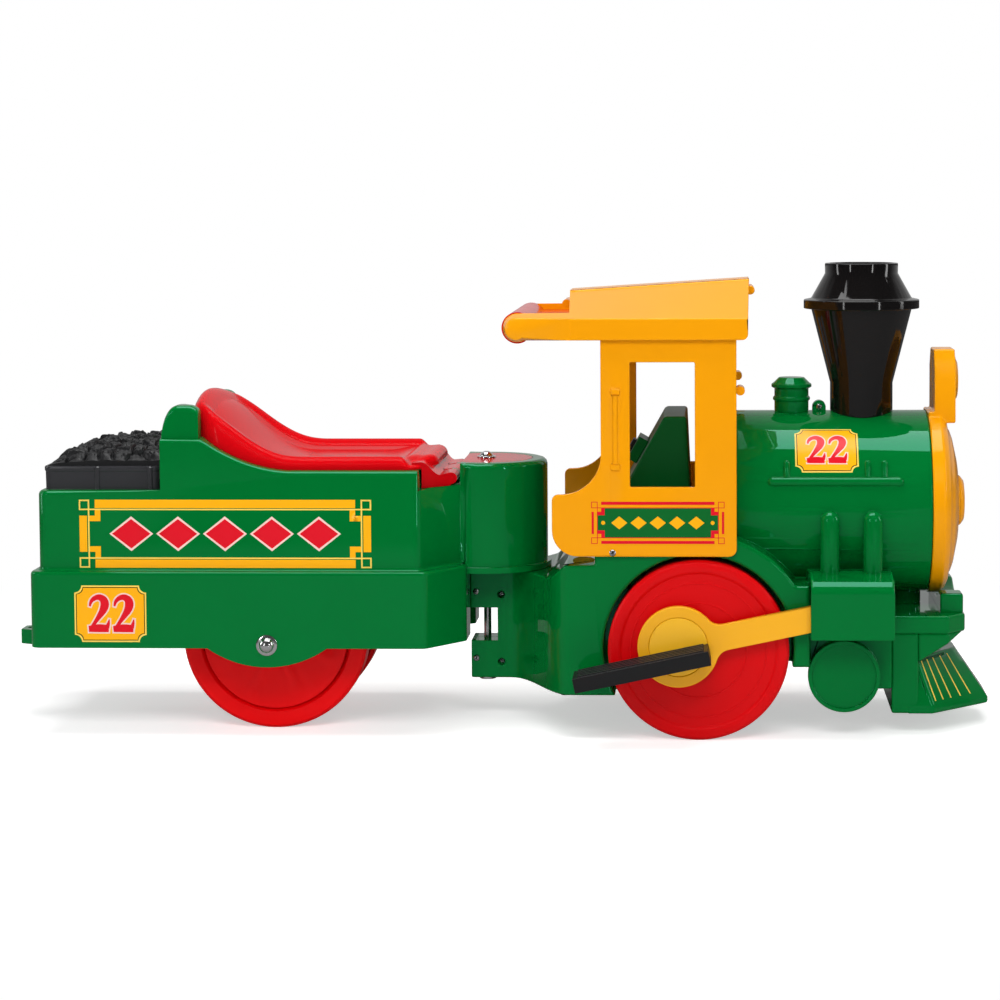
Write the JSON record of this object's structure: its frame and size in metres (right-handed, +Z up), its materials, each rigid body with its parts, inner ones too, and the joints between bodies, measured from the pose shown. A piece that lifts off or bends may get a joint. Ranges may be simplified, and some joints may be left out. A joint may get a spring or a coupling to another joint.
{
  "type": "ride-on train",
  "caption": "Toy ride-on train for one small child: a battery engine with cab, boiler and chimney, hitched to a tender with a saddle seat and coal load.",
  "frame": {"origin": "on the floor under the middle of the train's length and width", "axes": "+X forwards along the train, +Y to its left side, +Z up"},
  "size_m": [1.316, 0.464, 0.617],
  "materials": {
    "green_plastic": "glossy dark green moulded plastic",
    "orange_plastic": "glossy orange-yellow moulded plastic",
    "red_plastic": "glossy red moulded plastic",
    "red_wheel": "satin red moulded plastic",
    "black_gloss": "glossy black moulded plastic",
    "black_matte": "dull black moulded plastic",
    "grey_plastic": "dull dark grey moulded plastic",
    "nylon": "natural nylon",
    "bright_steel": "bright drawn steel",
    "chrome": "polished nickel plating"
  },
  "bodies": {
    "engine": {"engine_shell_right": "green_plastic", "engine_shell_left": "green_plastic", "rod_guard_right": "green_plastic", "rod_guard_left": "green_plastic", "shell_screws": "chrome", "smokebox_front": "orange_plastic", "chimney": "black_gloss", "steam_dome": "green_plastic", "pilot": "green_plastic", "cab_side_right": "orange_plastic", "cab_side_left": "orange_plastic", "cab_screws": "chrome", "cab_front": "orange_plastic", "cab_roof": "orange_plastic", "roof_visor": "red_plastic", "console": "green_plastic", "button_housing": "green_plastic", "gearbox_frame": "grey_plastic", "motor": "bright_steel", "axle_bushes": "nylon", "hitch_pin": "bright_steel", "hitch_nut": "chrome", "hitch_cap": "chrome"},
    "front_wheelset": {"front_axle": "bright_steel", "front_wheel_right": "red_wheel", "front_wheel_left": "red_wheel", "eccentric_right": "orange_plastic", "eccentric_left": "orange_plastic", "final_gear": "nylon"},
    "rod_unit_right": {"rod_right": "orange_plastic", "footrest_right": "black_matte"},
    "rod_unit_left": {"rod_left": "orange_plastic", "footrest_left": "black_matte"},
    "reduction_unit": {"reduction_gear": "nylon"},
    "pinion_unit": {"motor_pinion": "bright_steel"},
    "button_unit": {"drive_button": "black_matte"},
    "tender": {"tender_body": "green_plastic", "nose_cover": "red_plastic", "coal_load": "black_matte", "seat_pin": "bright_steel", "battery_tray": "grey_plastic", "battery": "grey_plastic", "rear_axle": "bright_steel", "axle_caps": "chrome", "axle_spacers": "nylon"},
    "rear_roller_right": {"rear_wheel_right": "red_wheel"},
    "rear_roller_left": {"rear_wheel_left": "red_wheel"},
    "seat_unit": {"seat": "red_plastic"}
  },
  "joints": [
    {"name": "front_axle_spin", "type": "hinge", "parent": "engine", "child": "front_wheelset", "pos_m": [0.271, 0, 0.118], "axis": [0, 1, 0], "continuous": true},
    {"name": "rod_right_hinge", "type": "hinge", "parent": "front_wheelset", "child": "rod_unit_right", "pos_m": [0.24505, 0, 0.12544], "axis": [0, 1, 0], "continuous": true},
    {"name": "rod_left_hinge", "type": "hinge", "parent": "front_wheelset", "child": "rod_unit_left", "pos_m": [0.24505, 0, 0.12544], "axis": [0, 1, 0], "continuous": true},
    {"name": "reduction_spin", "type": "hinge", "parent": "engine", "child": "reduction_unit", "pos_m": [0.22856, 0, 0.1425], "axis": [0, 1, 0], "continuous": true},
    {"name": "pinion_spin", "type": "hinge", "parent": "engine", "child": "pinion_unit", "pos_m": [0.18613, 0, 0.167], "axis": [0, 1, 0], "continuous": true},
    {"name": "button_push", "type": "slide", "parent": "engine", "child": "button_unit", "axis": [0.8699, 0, -0.4932], "range_m": [0, 0.003], "stiffness_N_per_m": 600},
    {"name": "tender_swivel", "type": "hinge", "parent": "engine", "child": "tender", "pos_m": [-0.017, 0, 0.118], "axis": [0, 0, 1], "range_deg": [-38, 38]},
    {"name": "rear_wheel_right_spin", "type": "hinge", "parent": "tender", "child": "rear_roller_right", "pos_m": [-0.294, 0, 0.1235], "axis": [0, 1, 0], "continuous": true},
    {"name": "rear_wheel_left_spin", "type": "hinge", "parent": "tender", "child": "rear_roller_left", "pos_m": [-0.294, 0, 0.1235], "axis": [0, 1, 0], "continuous": true},
    {"name": "seat_lift", "type": "hinge", "parent": "tender", "child": "seat_unit", "pos_m": [-0.058, 0, 0.335], "axis": [0, 1, 0], "range_deg": [0, 70]}
  ],
  "couplings": [
    {"joint": "rod_right_hinge", "follows": "front_axle_spin", "ratio": -1},
    {"joint": "rod_left_hinge", "follows": "front_axle_spin", "ratio": -1},
    {"joint": "reduction_spin", "follows": "front_axle_spin", "ratio": -3},
    {"joint": "pinion_spin", "follows": "front_axle_spin", "ratio": 9}
  ]
}
